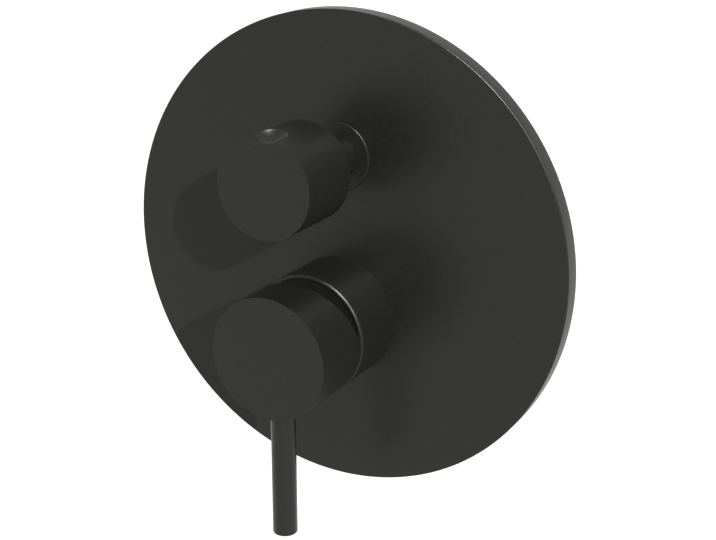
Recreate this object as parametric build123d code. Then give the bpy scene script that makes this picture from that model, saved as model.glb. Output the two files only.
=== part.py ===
from build123d import *
import math
import os

os.makedirs("parts", exist_ok=True)

# Concealed shower mixer: wall plate, lever, diverter knob and the brass valve behind the wall.
# The finished wall is the plane y = 0, +Y points into the wall, +Z is up, sizes in millimetres.

# Clearances: fixed fit, running fit, free gap, and how far a cutter runs past a face.
FIT = 0.05
RUN = 0.08
GAP = 0.3
PAST = 1.0

# Wall plate: a pressed brass dish standing on its rim.
PLATE_R = 92.5
PLATE_DEPTH = 7.45
PLATE_WALL = 1.5
PLATE_EDGE = 0.5
PLATE_FRONT = -PLATE_DEPTH
PLATE_INSIDE = PLATE_FRONT + PLATE_WALL
PLATE_INNER_R = PLATE_R - PLATE_WALL
NECK_ROOM = 0.7
SPIGOT_ROOM = 0.2
CORD_WIDTH = 4.0

# Axes of the lever and of the diverter knob.
LEVER_Z = -25.1
KNOB_Z = 38.0

# Lever cartridge, 35 mm across, stacked from its base towards the room.
CART_R = 17.5
CART_BASE = 4.0
BASE_THICK = 8.0
BASE_FRONT = CART_BASE - BASE_THICK
FIXED_DISC = 3.5
DISC_SPLIT = BASE_FRONT - FIXED_DISC
MOVING_DISC = 3.0
DISC_FRONT = DISC_SPLIT - MOVING_DISC
CARRIER_RIM = 1.5
CARRIER_STEP = DISC_FRONT - CARRIER_RIM
CARRIER_TONGUE = 2.1
CARRIER_FRONT = CARRIER_STEP - CARRIER_TONGUE
SLIDE_GAP = 0.2
FLANGE_BACK = CARRIER_FRONT - SLIDE_GAP
FLANGE_THICK = 2.9
FLANGE_FRONT = FLANGE_BACK - FLANGE_THICK
CAVITY_TOP = FLANGE_FRONT - GAP
HOUSING_ROOF = 2.0
CART_SHOULDER = CAVITY_TOP - HOUSING_ROOF
COLLAR_LENGTH = 10.5
COLLAR_TOP = CART_SHOULDER - COLLAR_LENGTH
COLLAR_EDGE = 0.6
ROTOR_PROUD = 0.6
ROTOR_TOP = COLLAR_TOP - ROTOR_PROUD
HOUSING_WALL = 2.1
CAVITY_R = CART_R - HOUSING_WALL
COLLAR_STEP = 4.0
COLLAR_R = CART_R - COLLAR_STEP
COLLAR_WALL = 1.9
ROTOR_BORE_R = COLLAR_R - COLLAR_WALL
ROTOR_R = ROTOR_BORE_R - GAP
ROTOR_EDGE = 0.8
ROTOR_SLOT = 6.0
CARRIER_ROOM = 3.4
CARRIER_R = CAVITY_R - CARRIER_ROOM
CARRIER_HALF = 9.2
PORT_X = 5.7
PORT_DROP = 5.7
MIX_RISE = 5.6
PORT_R = 2.6
POCKET_HALF = 7.4
POCKET_DOWN = 3.3
POCKET_UP = 7.0
POCKET_DEPTH = 1.8
POCKET_ROUND = 3.0
GASKET_LAND = 3.4
GASKET_R = CAVITY_R - GASKET_LAND
GASKET_THICK = 1.6
PEG_R = 1.3
PEG_X = GASKET_R + PEG_R + GAP
PEG_LENGTH = 2.4
PEG_ROOM = 0.1

# Ring nut that clamps the cartridge, and the neck of the body around it.
CHAMBER_R = CART_R + 0.2
CHAMBER_FLOOR = CART_BASE + 0.2
NUT_STEP = 1.2
NUT_THREAD_R = CHAMBER_R + NUT_STEP
NECK_WALL = 2.0
NECK_R = NUT_THREAD_R + NECK_WALL
NUT_THREAD = 4.0
NECK_FRONT = CART_SHOULDER - NUT_THREAD
NUT_FLANGE_R = NECK_R - 0.5
NUT_FLANGE = 2.5
NUT_FRONT = NECK_FRONT - NUT_FLANGE
NUT_HOLE_R = COLLAR_R + 0.25
NUT_EDGE = 0.5
NUT_NOTCHES = 6
NOTCH_WIDTH = 4.5
NOTCH_DEPTH = 1.9

# Lever sleeve: a turned tube screwed over the body's neck.
SLEEVE_BODY = 2.45
SLEEVE_R = NECK_R + SLEEVE_BODY
SLEEVE_WALL = 1.6
SLEEVE_HOLE_R = SLEEVE_R - SLEEVE_WALL
SLEEVE_LENGTH = 24.55
SLEEVE_FRONT = PLATE_FRONT - SLEEVE_LENGTH
SLEEVE_EDGE = 0.8
SLEEVE_INNER_EDGE = 0.4
SLEEVE_THREAD = 7.55
WEB_DEPTH = 0.7
WEB_THICK = 1.2
WEB_FRONT = SLEEVE_FRONT + WEB_DEPTH
WEB_BACK = WEB_FRONT + WEB_THICK
WEB_HOLE_R = COLLAR_R + 1.1
GROOVE_IN_R = NECK_R + 0.95
GROOVE_OUT_R = GROOVE_IN_R + 1.0
GROOVE_DEPTH = 0.8

# Lever cap: hollow cylinder, its upper rear edge cut back so that it can tip.
CAP_R = SLEEVE_R - 0.1
CAP_WALL = 2.2
CAP_GAP = 0.6
CAP_BACK = SLEEVE_FRONT - CAP_GAP
CAP_LENGTH = 27.6
CAP_FRONT = CAP_BACK - CAP_LENGTH
CAP_FACE = 3.0
CAP_FLOOR = CAP_FRONT + CAP_FACE
CAP_EDGE = 0.05
CAP_HOLE_R = CAP_R - CAP_WALL
RELIEF_DEG = 21.5
BOSS_R = 8.5
BOSS_SETBACK = 5.4
BOSS_BACK = CAP_BACK - BOSS_SETBACK
RIB_HALF = 5.0
RIB_SETBACK = 1.4
RIB_BACK = BOSS_BACK - RIB_SETBACK

# Lever pin: round bar hanging from the underside of the cap.
PIN_R = 4.65
PIN_SETBACK = 10.3
PIN_Y = CAP_FRONT + PIN_SETBACK
PIN_SEAT = 3.0
PIN_SEAT_Z = LEVER_Z - CAP_R + PIN_SEAT
PIN_LENGTH = 53.15
PIN_END_Z = PIN_SEAT_Z - PIN_LENGTH
PIN_EDGE = 0.6
STUD_R = 3.0
STUD_LENGTH = 8.5

# Lever mechanism: square spindle on a cross pin, its lower arm drives the disc carrier.
PIVOT_DEPTH = 3.1
PIVOT_Y = ROTOR_TOP + PIVOT_DEPTH
SPINDLE_HALF = 4.0
SPINDLE_GRIP = 8.0
SPINDLE_FRONT = BOSS_BACK - SPINDLE_GRIP
SPINDLE_EDGE = 0.6
ARM_REST_DEG = 10.0
ARM = (CARRIER_FRONT - PIVOT_Y) / math.cos(math.radians(ARM_REST_DEG))
BALL_Z = LEVER_Z + ARM * math.sin(math.radians(ARM_REST_DEG))
BALL_R = 2.2
BALL_ROOM = 0.12
BALL_FLOOR = 0.8
ARM_R = BALL_R - 0.4
EYE_R = 4.6
CROSS_PIN_R = 1.5
CROSS_PIN_HALF = 9.0

# Headless set screws of cap and knob.
GRUB_R = 2.0
GRUB_LENGTH = 8.0
GRUB_TIP = 0.5
GRUB_KEY = 2.0
GRUB_KEY_DEPTH = 2.5
CAP_GRUB_DEPTH = 4.2
CAP_GRUB_Y = BOSS_BACK - CAP_GRUB_DEPTH

# Diverter knob with a finger scoop, and its stem sleeve and collar.
KNOB_R = 18.65
KNOB_STANDOFF = 24.95
KNOB_BACK = PLATE_FRONT - KNOB_STANDOFF
KNOB_LENGTH = 28.2
KNOB_FRONT = KNOB_BACK - KNOB_LENGTH
KNOB_EDGE = 0.05
SCOOP_R = 8.5
SCOOP_DEPTH = 4.1
SCOOP_RUN = 4.5
SCOOP_Z = KNOB_Z + KNOB_R - SCOOP_DEPTH + SCOOP_R
SCOOP_END = KNOB_FRONT + SCOOP_RUN
STEM_R = 8.0
STEM_WALL = 1.4
STEM_HOLE_R = STEM_R - STEM_WALL
RECESS_R = STEM_R + 0.45
RECESS_DEPTH = 3.0
RECESS_END = KNOB_BACK - RECESS_DEPTH
STEM_GAP = 0.5
STEM_FRONT = RECESS_END + STEM_GAP
KNOB_GRUB_DEPTH = 7.6
KNOB_GRUB_Y = RECESS_END - KNOB_GRUB_DEPTH
SPIGOT_BODY = 2.4
SPIGOT_R = STEM_R + SPIGOT_BODY
SPIGOT_LENGTH = 2.6
RING_STEP = 2.85
RING_R = SPIGOT_R + RING_STEP
RING_PROUD = 1.2
RING_EDGE = 0.5
RING_FRONT = PLATE_FRONT - RING_PROUD
GRIP_FRONT = PLATE_FRONT + 0.9
GRIP_BACK = GRIP_FRONT + 1.6
GRIP_OUT_R = STEM_R + 1.3

# Diverter headwork, stacked from the hexagon's seat into the body.
SHAFT_R = 4.0
SHAFT_GRIP = 14.6
SHAFT_FRONT = RECESS_END - SHAFT_GRIP
SHAFT_FLAT = 3.0
SHAFT_TIP = 0.5
FLAT_Z = KNOB_Z - SHAFT_FLAT
KNOB_FLAT_END = 1.5
SHAFT_FLAT_END = 0.6
CAGE_HOLE_R = 8.3
CAGE_R = CAGE_HOLE_R + 1.5
BARREL_R = CAGE_R + 1.15
BONNET_HEX = 2 * BARREL_R + 4.1
BONNET_SEAT = 4.0
HEX_THICK = 4.6
BONNET_FRONT = BONNET_SEAT - HEX_THICK
STEM_BACK = BONNET_FRONT - 0.9
BONNET_NECK_R = STEM_HOLE_R - FIT
BONNET_NECK = 11.4
BONNET_NECK_FRONT = BONNET_FRONT - BONNET_NECK
BARREL_LENGTH = 8.0
BARREL_END = BONNET_SEAT + BARREL_LENGTH
CAGE_DEPTH = 4.0
CAGE_TOP = BARREL_END - CAGE_DEPTH
DRIVER_FRONT = CAGE_TOP + 0.2
DRIVER_BACK = DRIVER_FRONT + 2.1
DRIVER_R = CAGE_HOLE_R - 0.2
DRIVER_HUB_R = SHAFT_R + 2.1
STOP_HALF_DEG = 10.0
STOP_SLACK_DEG = 2.0
TURN_DEG = 180.0
WINDOW_HALF = 4.5
WINDOW_EDGE = 0.4
WINDOW_LENGTH = 4.2
DIV_DISC_FRONT = BARREL_END + WINDOW_LENGTH
DIV_MOVING_DISC = 2.8
DIV_DISC_SPLIT = DIV_DISC_FRONT + DIV_MOVING_DISC
DIV_FIXED_DISC = 3.0
CAGE_END = DIV_DISC_SPLIT + DIV_FIXED_DISC
DIV_GASKET = 2.0
DIV_FLOOR = CAGE_END + DIV_GASKET
DIV_DISC_R = CAGE_HOLE_R - 0.15
DIV_PORT = 5.0
DIV_PORT_R = 2.5
TONGUE_X = 6.0
TONGUE_Z = 1.6
TONGUE_DEEP = 1.2
TONGUE_ROOM = 0.15
SEAT_RING_R = BARREL_R + 1.45
SEAT_RING = 1.1
SHAFT_SEAL_DEPTH = 6.0
SHAFT_SEAL_Y = BONNET_NECK_FRONT + SHAFT_SEAL_DEPTH
SHAFT_SEAL = 1.6
SHAFT_SEAL_R = SHAFT_R - 0.9
SEAL_SQUEEZE = 0.02
CLIP_Y = BONNET_NECK_FRONT - 0.35
CLIP_THICK = 0.8
CLIP_GROOVE_R = SHAFT_R - 0.6
CLIP_R = SHAFT_R + 1.6
CLIP_MOUTH = 1.6

# Brass body: cups for cartridge and diverter, four spigots in one plane behind the wall.
PORT_Y = 22.0
TUBE_R = 12.8
INLET_X = 58.0
TOP_Z = 69.0
BOTTOM_Z = -72.0
CUP_WALL = 5.3
CUP_R = CHAMBER_R + CUP_WALL
CUP_FRONT = 0.6
CUP_BACK = 14.0
NECK_ROOT = CUP_FRONT + 1.0
DIV_CHAMBER_R = BARREL_R + FIT
DIV_CUP_WALL = 3.5
DIV_CUP_R = DIV_CHAMBER_R + DIV_CUP_WALL
SPINE_HALF = 10.0
SPINE_FRONT = 7.0
SPINE_DROP = 20.0
SPINE_ROUND = 4.0
BODY_BACK = 37.0
DIV_CUP_BACK = BODY_BACK - 2.0
INLET_BORE_R = 6.5
INLET_BORE_END = 5.0
DUCT_R = PORT_R + 0.4
MIX_DUCT_Y = 15.0
MIX_DUCT_R = 3.6
MIX_DUCT_DROP = 9.0
MIX_DUCT_TOP = KNOB_Z - MIX_DUCT_DROP
UP_DUCT_Y = 27.5
BACK_DUCT_Y = 30.0
BACK_DUCT_R = 4.0
OUTLET_MEET = 5.0
OUTLET_R = DIV_PORT_R + 0.3
LUG_X = 32.0
LUG_Z = 6.5
LUG_R = 7.0
LUG_THICK = 6.0
LUG_FRONT = BODY_BACK - LUG_THICK
LUG_HOLE_R = 2.75
LUG_EDGE = 1.5

# Port sockets: hexagon nuts with a half-inch pipe thread, screwed on the body's spigots.
SOCKET_HEX = 2 * TUBE_R + 1.4
SOCKET_EDGE = 0.8
THREAD_R = 9.3
THREAD_LENGTH = 12.0
SPIGOT_TUBE_R = THREAD_R + 2.1
SPIGOT_TUBE = 4.0
SOCKET_LENGTH = THREAD_LENGTH + SPIGOT_TUBE


def turned(outline, z=0.0):
    """Solid of revolution about a line along Y at height z, from (y, radius) corners."""
    face = make_face(Polyline(*[(r, y) for y, r in outline], close=True))
    return Pos(0, 0, z) * revolve(face, axis=Axis.Y, revolution_arc=360)


def ring_y(y0, y1, inner_r, outer_r, z):
    """Plain ring about a line along Y."""
    return turned([(y0, inner_r), (y0, outer_r), (y1, outer_r), (y1, inner_r)], z)


def rod_x(r, x0, x1, y, z):
    return Pos((x0 + x1) / 2, y, z) * Rot(0, 90, 0) * Cylinder(r, abs(x1 - x0))


def rod_y(r, y0, y1, x, z):
    return Pos(x, (y0 + y1) / 2, z) * Rot(90, 0, 0) * Cylinder(r, abs(y1 - y0))


def rod_z(r, z0, z1, x, y):
    return Pos(x, y, (z0 + z1) / 2) * Cylinder(r, abs(z1 - z0))


def block(x0, x1, y0, y1, z0, z1):
    return Pos((x0 + x1) / 2, (y0 + y1) / 2, (z0 + z1) / 2) * Box(x1 - x0, y1 - y0, z1 - z0)


def side_plate(corners, half):
    """Prism across X from (y, z) corners, half to each side."""
    face = make_face(Polyline(*[(0, y, z) for y, z in corners], close=True))
    return extrude(face, amount=half, dir=(1, 0, 0), both=True)


def hex_bar(flats, start, direction, length):
    face = Plane(start, z_dir=direction) * RegularPolygon(flats / 2, 6, major_radius=False)
    return extrude(face, amount=length, dir=direction)


def circles(shape, y, r):
    """Round edges of a turned piece at depth y with radius r."""
    found = [e for e in shape.edges() if e.geom_type == GeomType.CIRCLE]
    return [e for e in found if abs(e.radius - r) < 0.01 and abs(e.arc_center.Y - y) < 0.01]


def save(node, shape):
    solids = shape.solids()
    whole = solids[0] if len(solids) == 1 else Compound(solids)
    export_step(whole, f"parts/{node}.step")


# Wall plate, pressed from sheet, with holes for the body's neck and the diverter's collar.
plate = turned([
    (0, PLATE_INNER_R), (0, PLATE_R), (PLATE_FRONT, PLATE_R), (PLATE_FRONT, 0),
    (PLATE_INSIDE, 0), (PLATE_INSIDE, PLATE_INNER_R),
])
plate = fillet(circles(plate, PLATE_FRONT, PLATE_R), PLATE_EDGE)
plate -= rod_y(NECK_R + NECK_ROOM, PLATE_FRONT - PAST, 0, 0, LEVER_Z)
plate -= rod_y(SPIGOT_R + SPIGOT_ROOM, PLATE_FRONT - PAST, 0, 0, KNOB_Z)
save("face_plate", plate)

# Foam cord lying inside the plate's rim and pressed on the wall.
save("plate_seal", ring_y(PLATE_INSIDE, 0, PLATE_INNER_R - CORD_WIDTH, PLATE_INNER_R - FIT, 0))

# Lever sleeve: screwed on the body's neck, its foot clamps the plate to the wall.
sleeve_thread_end = PLATE_FRONT - SLEEVE_THREAD
sleeve = turned([
    (PLATE_FRONT, NECK_R + FIT), (PLATE_FRONT, SLEEVE_R), (SLEEVE_FRONT, SLEEVE_R),
    (SLEEVE_FRONT, SLEEVE_HOLE_R), (WEB_FRONT, SLEEVE_HOLE_R), (WEB_FRONT, WEB_HOLE_R),
    (WEB_BACK, WEB_HOLE_R), (WEB_BACK, SLEEVE_HOLE_R), (sleeve_thread_end, SLEEVE_HOLE_R),
    (sleeve_thread_end, NECK_R + FIT),
], LEVER_Z)
sleeve = fillet(circles(sleeve, SLEEVE_FRONT, SLEEVE_R), SLEEVE_EDGE)
sleeve = fillet(circles(sleeve, SLEEVE_FRONT, SLEEVE_HOLE_R), SLEEVE_INNER_EDGE)
sleeve -= ring_y(PLATE_FRONT - GROOVE_DEPTH, PLATE_FRONT, GROOVE_IN_R, GROOVE_OUT_R, LEVER_Z)
save("lever_sleeve", sleeve)

# Sealing ring squeezed in the groove under the sleeve's foot.
ring = ring_y(PLATE_FRONT - GROOVE_DEPTH + FIT, PLATE_FRONT, GROOVE_IN_R + FIT, GROOVE_OUT_R - FIT, LEVER_Z)
save("sleeve_seal", ring)

# Lever cap: die cast shell with a central boss and a rib that carries pin and set screw.
cap = turned([
    (CAP_FRONT, 0), (CAP_FRONT, CAP_R), (CAP_BACK, CAP_R), (CAP_BACK, CAP_HOLE_R),
    (CAP_FLOOR, CAP_HOLE_R), (CAP_FLOOR, BOSS_R), (BOSS_BACK, BOSS_R), (BOSS_BACK, 0),
], LEVER_Z)
cap = fillet(circles(cap, CAP_FRONT, CAP_R), CAP_EDGE)
rib_foot = LEVER_Z - CAP_R + CAP_WALL / 2
cap += block(-RIB_HALF, RIB_HALF, CAP_FLOOR - PAST, RIB_BACK, rib_foot, LEVER_Z - BOSS_R / 2)
reach = CAP_R + PAST
relief_y = CAP_BACK - reach * math.tan(math.radians(RELIEF_DEG))
cap -= side_plate([
    (CAP_BACK, LEVER_Z), (relief_y, LEVER_Z + reach),
    (CAP_BACK + PAST, LEVER_Z + reach), (CAP_BACK + PAST, LEVER_Z),
], reach)
socket = SPINDLE_HALF + FIT
cap -= block(-socket, socket, SPINDLE_FRONT - GAP, BOSS_BACK + PAST, LEVER_Z - socket, LEVER_Z + socket)
below_cap = LEVER_Z - CAP_R - PAST
cap -= rod_z(PIN_R + FIT, below_cap, PIN_SEAT_Z, 0, PIN_Y)
cap -= rod_z(STUD_R + FIT, PIN_SEAT_Z - PAST, PIN_SEAT_Z + STUD_LENGTH + PAST, 0, PIN_Y)
cap -= rod_z(GRUB_R + FIT, below_cap, LEVER_Z, 0, CAP_GRUB_Y)
save("lever_handle", cap)

# Lever pin: turned bar with a threaded stud that screws into the cap's rib.
pin = rod_z(PIN_R, PIN_END_Z, PIN_SEAT_Z, 0, PIN_Y)
pin = fillet(pin.edges().group_by(Axis.Z)[0], PIN_EDGE)
pin += rod_z(STUD_R, PIN_SEAT_Z, PIN_SEAT_Z + STUD_LENGTH, 0, PIN_Y)
save("lever_pin", pin)


def set_screw(top_z, y):
    """Headless screw pointing up, with a hexagon socket in its lower end."""
    foot_z = top_z - GRUB_LENGTH
    screw = chamfer(rod_z(GRUB_R, foot_z, top_z, 0, y).edges().group_by(Axis.Z)[-1], GRUB_TIP)
    return screw - hex_bar(GRUB_KEY, (0, y, foot_z - PAST), (0, 0, 1), GRUB_KEY_DEPTH + PAST)


# Set screw holding the cap on the square spindle.
save("handle_grub_screw", set_screw(LEVER_Z - SPINDLE_HALF, CAP_GRUB_Y))

# Spindle: square stem, round eye on the cross pin, arm with a ball end for the carrier.
spindle = block(
    -SPINDLE_HALF, SPINDLE_HALF, SPINDLE_FRONT, PIVOT_Y, LEVER_Z - SPINDLE_HALF, LEVER_Z + SPINDLE_HALF,
)
spindle = chamfer(spindle.faces().sort_by(Axis.Y)[0].edges(), SPINDLE_EDGE)
spindle += rod_x(EYE_R, -SPINDLE_HALF, SPINDLE_HALF, PIVOT_Y, LEVER_Z)
arm = Pos(0, 0, ARM / 2) * Cylinder(ARM_R, ARM) + Pos(0, 0, ARM) * Sphere(BALL_R)
spindle += Pos(0, PIVOT_Y, LEVER_Z) * Rot(-90 + ARM_REST_DEG, 0, 0) * arm
spindle -= rod_x(CROSS_PIN_R + RUN, -SPINDLE_HALF - PAST, SPINDLE_HALF + PAST, PIVOT_Y, LEVER_Z)
save("lever_spindle", spindle)

# Cross pin, a ground steel dowel held by the rotor.
save("spindle_pin", rod_x(CROSS_PIN_R, -CROSS_PIN_HALF, CROSS_PIN_HALF, PIVOT_Y, LEVER_Z))

# Rotor: turns in the cartridge housing, its cheeks guide the carrier.
flange_r = CAVITY_R - GAP
rotor = turned([
    (ROTOR_TOP, 0), (ROTOR_TOP, ROTOR_R), (FLANGE_FRONT, ROTOR_R),
    (FLANGE_FRONT, flange_r), (FLANGE_BACK, flange_r), (FLANGE_BACK, 0),
], LEVER_Z)
rotor = chamfer(circles(rotor, ROTOR_TOP, ROTOR_R), ROTOR_EDGE)
guide = CARRIER_HALF + SLIDE_GAP
cheeks = rod_y(flange_r, FLANGE_BACK - FLANGE_THICK / 2, CARRIER_STEP - SLIDE_GAP, 0, LEVER_Z)
cheeks -= block(-guide, guide, FLANGE_FRONT, CARRIER_STEP, LEVER_Z - CART_R, LEVER_Z + CART_R)
rotor += cheeks
slot_x = SPINDLE_HALF + GAP
rotor -= block(
    -slot_x, slot_x, ROTOR_TOP - PAST, FLANGE_BACK + PAST, LEVER_Z - ROTOR_SLOT, LEVER_Z + ROTOR_SLOT,
)
rotor -= rod_x(CROSS_PIN_R + FIT, -CART_R, CART_R, PIVOT_Y, LEVER_Z)
save("cartridge_rotor", rotor)

# Cartridge housing: moulded cup, open towards the wall, with a collar for the rotor.
housing = turned([
    (CART_BASE, CAVITY_R), (CART_BASE, CART_R), (CART_SHOULDER, CART_R), (CART_SHOULDER, COLLAR_R),
    (COLLAR_TOP, COLLAR_R), (COLLAR_TOP, ROTOR_BORE_R), (CAVITY_TOP, ROTOR_BORE_R),
    (CAVITY_TOP, CAVITY_R),
], LEVER_Z)
housing = chamfer(circles(housing, COLLAR_TOP, COLLAR_R), COLLAR_EDGE)
save("cartridge_housing", housing)

# Carrier: slides between the rotor's cheeks, pushed by the ball end of the arm.
carrier = rod_y(CARRIER_R, CARRIER_STEP, DISC_FRONT, 0, BALL_Z)
tongue = rod_y(CARRIER_R, CARRIER_FRONT, CARRIER_STEP + CARRIER_RIM / 2, 0, BALL_Z)
carrier += tongue & block(
    -CARRIER_HALF, CARRIER_HALF, CARRIER_FRONT - PAST, DISC_FRONT, BALL_Z - CARRIER_R, BALL_Z + CARRIER_R,
)
carrier -= rod_y(BALL_R + BALL_ROOM, CARRIER_FRONT - PAST, DISC_FRONT - BALL_FLOOR, 0, BALL_Z)
save("disc_carrier", carrier)

# Moving ceramic disc: its blind pocket joins the ports of the fixed disc.
pocket = block(
    -POCKET_HALF, POCKET_HALF, DISC_SPLIT - POCKET_DEPTH, DISC_SPLIT + PAST,
    BALL_Z - POCKET_DOWN, BALL_Z + POCKET_UP,
)
pocket = fillet(pocket.edges().filter_by(Axis.Y), POCKET_ROUND)
save("moving_disc", rod_y(CARRIER_R, DISC_FRONT, DISC_SPLIT, 0, BALL_Z) - pocket)


def port_cuts(r, y0, y1):
    """Hot, cold and mixed ways through the cartridge's lower parts."""
    hot = rod_y(r, y0, y1, -PORT_X, LEVER_Z - PORT_DROP)
    cold = rod_y(r, y0, y1, PORT_X, LEVER_Z - PORT_DROP)
    return hot + cold + rod_y(r, y0, y1, 0, LEVER_Z + MIX_RISE)


# Fixed ceramic disc with its three ports.
fixed = rod_y(CAVITY_R - FIT, DISC_SPLIT, BASE_FRONT, 0, LEVER_Z)
save("fixed_disc", fixed - port_cuts(PORT_R, DISC_SPLIT - PAST, BASE_FRONT + PAST))

# Cartridge base: closes the housing, recessed for the gasket, two pegs find the body.
gasket_front = CHAMBER_FLOOR - GASKET_THICK
base = rod_y(CAVITY_R - FIT, BASE_FRONT, CART_BASE, 0, LEVER_Z)
base -= rod_y(GASKET_R + FIT, gasket_front, CART_BASE + PAST, 0, LEVER_Z)
base -= port_cuts(PORT_R, BASE_FRONT - PAST, CART_BASE + PAST)
for side in (-1, 1):
    base += rod_y(PEG_R, CART_BASE - PAST, CART_BASE + PEG_LENGTH, side * PEG_X, LEVER_Z)
save("cartridge_base", base)

# Rubber gasket between the cartridge base and the chamber floor.
gasket = rod_y(GASKET_R, gasket_front, CHAMBER_FLOOR, 0, LEVER_Z)
save("port_gasket", gasket - port_cuts(PORT_R, gasket_front - PAST, CHAMBER_FLOOR + PAST))

# Ring nut: male thread in the neck, notches for a spanner, clamps the housing's shoulder.
nut = turned([
    (CART_SHOULDER, NUT_HOLE_R), (CART_SHOULDER, NUT_THREAD_R), (NECK_FRONT, NUT_THREAD_R),
    (NECK_FRONT, NUT_FLANGE_R), (NUT_FRONT, NUT_FLANGE_R), (NUT_FRONT, NUT_HOLE_R),
], LEVER_Z)
nut = chamfer(circles(nut, NUT_FRONT, NUT_FLANGE_R), NUT_EDGE)
notch = Pos(0, NUT_FRONT, NUT_FLANGE_R) * Box(NOTCH_WIDTH, 2 * NOTCH_DEPTH, NOTCH_WIDTH)
for k in range(NUT_NOTCHES):
    nut -= Pos(0, 0, LEVER_Z) * Rot(0, 360 / NUT_NOTCHES * k, 0) * notch
save("cartridge_nut", nut)

# Diverter knob: turned from bar, a ball-ended cutter run into the top of its front rim.
knob = rod_y(KNOB_R, KNOB_FRONT, KNOB_BACK, 0, KNOB_Z)
knob = fillet(circles(knob, KNOB_FRONT, KNOB_R) + circles(knob, KNOB_BACK, KNOB_R), KNOB_EDGE)
scoop = rod_y(SCOOP_R, KNOB_FRONT - PAST, SCOOP_END, 0, SCOOP_Z)
scoop += Pos(0, SCOOP_END, SCOOP_Z) * Sphere(SCOOP_R)
knob -= scoop
knob -= rod_y(RECESS_R, RECESS_END, KNOB_BACK + PAST, 0, KNOB_Z)
shaft_hole = rod_y(SHAFT_R + FIT, SHAFT_FRONT - GAP, KNOB_BACK, 0, KNOB_Z)
shaft_hole -= block(
    -SHAFT_R - PAST, SHAFT_R + PAST, SHAFT_FRONT - PAST, RECESS_END - KNOB_FLAT_END,
    FLAT_Z - SHAFT_R, FLAT_Z - FIT,
)
knob -= shaft_hole
knob -= rod_z(GRUB_R + FIT, KNOB_Z - KNOB_R - PAST, FLAT_Z + PAST, 0, KNOB_GRUB_Y)
save("diverter_knob", knob)

# Set screw bearing on the flat of the diverter spindle.
save("knob_grub_screw", set_screw(FLAT_Z, KNOB_GRUB_Y))

# Stem sleeve: tube screwed on the headwork's neck, hides the spindle.
save("stem_sleeve", ring_y(STEM_FRONT, STEM_BACK, STEM_HOLE_R, STEM_R, KNOB_Z))

# Collar: flanged ring that closes the plate's upper hole around the stem sleeve.
spigot_back = PLATE_INSIDE + SPIGOT_LENGTH
collar = turned([
    (spigot_back, STEM_R + FIT), (spigot_back, SPIGOT_R), (PLATE_FRONT, SPIGOT_R), (PLATE_FRONT, RING_R),
    (RING_FRONT, RING_R), (RING_FRONT, STEM_R + FIT),
], KNOB_Z)
collar = fillet(circles(collar, RING_FRONT, RING_R), RING_EDGE)
collar -= ring_y(GRIP_FRONT, GRIP_BACK, STEM_R - GAP, GRIP_OUT_R, KNOB_Z)
save("diverter_collar", collar)

# Rubber ring that grips the stem sleeve inside the collar.
save("collar_seal", ring_y(GRIP_FRONT + FIT, GRIP_BACK - FIT, STEM_R, GRIP_OUT_R - FIT, KNOB_Z))


def sector(r, y0, y1, start_deg, end_deg):
    """Slice of a disc about the diverter axis, angles from straight up, clockwise from the room."""
    steps = 12
    angles = [math.radians(start_deg + (end_deg - start_deg) * k / steps) for k in range(steps + 1)]
    rim = [(3 * r * math.sin(a), y0, KNOB_Z + 3 * r * math.cos(a)) for a in angles]
    face = make_face(Polyline((0, y0, KNOB_Z), *rim, close=True))
    wedge = extrude(face, amount=y1 - y0, dir=(0, 1, 0))
    return wedge & rod_y(r, y0, y1, 0, KNOB_Z)


# Headwork bonnet: hexagon, threaded barrel, windowed cage for the discs and a turning stop.
bonnet = turned([
    (BONNET_NECK_FRONT, 0), (BONNET_NECK_FRONT, BONNET_NECK_R), (BONNET_SEAT, BONNET_NECK_R),
    (BONNET_SEAT, BARREL_R), (BARREL_END, BARREL_R), (BARREL_END, CAGE_R), (CAGE_END, CAGE_R), (CAGE_END, 0),
], KNOB_Z)
bonnet += hex_bar(BONNET_HEX, (0, BONNET_FRONT, KNOB_Z), (0, 1, 0), HEX_THICK)
bonnet -= rod_y(SHAFT_R + RUN, BONNET_NECK_FRONT - PAST, CAGE_TOP + PAST, 0, KNOB_Z)
bonnet -= rod_y(CAGE_HOLE_R, CAGE_TOP, CAGE_END + PAST, 0, KNOB_Z)
window_from, window_to = BARREL_END + WINDOW_EDGE, DIV_DISC_FRONT - WINDOW_EDGE
across = CAGE_R + PAST
bonnet -= block(-across, across, window_from, window_to, KNOB_Z - WINDOW_HALF, KNOB_Z + WINDOW_HALF)
bonnet -= block(-WINDOW_HALF, WINDOW_HALF, window_from, window_to, KNOB_Z - across, KNOB_Z + across)
stop_root = GAP
stop = sector(CAGE_HOLE_R + stop_root, CAGE_TOP - stop_root, DRIVER_BACK, -STOP_HALF_DEG, STOP_HALF_DEG)
bonnet += stop - rod_y(DRIVER_HUB_R + GAP, CAGE_TOP - PAST, DRIVER_BACK + PAST, 0, KNOB_Z)
save("diverter_bonnet", bonnet)

# Sealing ring under the bonnet's hexagon.
save("bonnet_seal", ring_y(BONNET_SEAT, BONNET_SEAT + SEAT_RING, BARREL_R + FIT, SEAT_RING_R, KNOB_Z))

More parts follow.
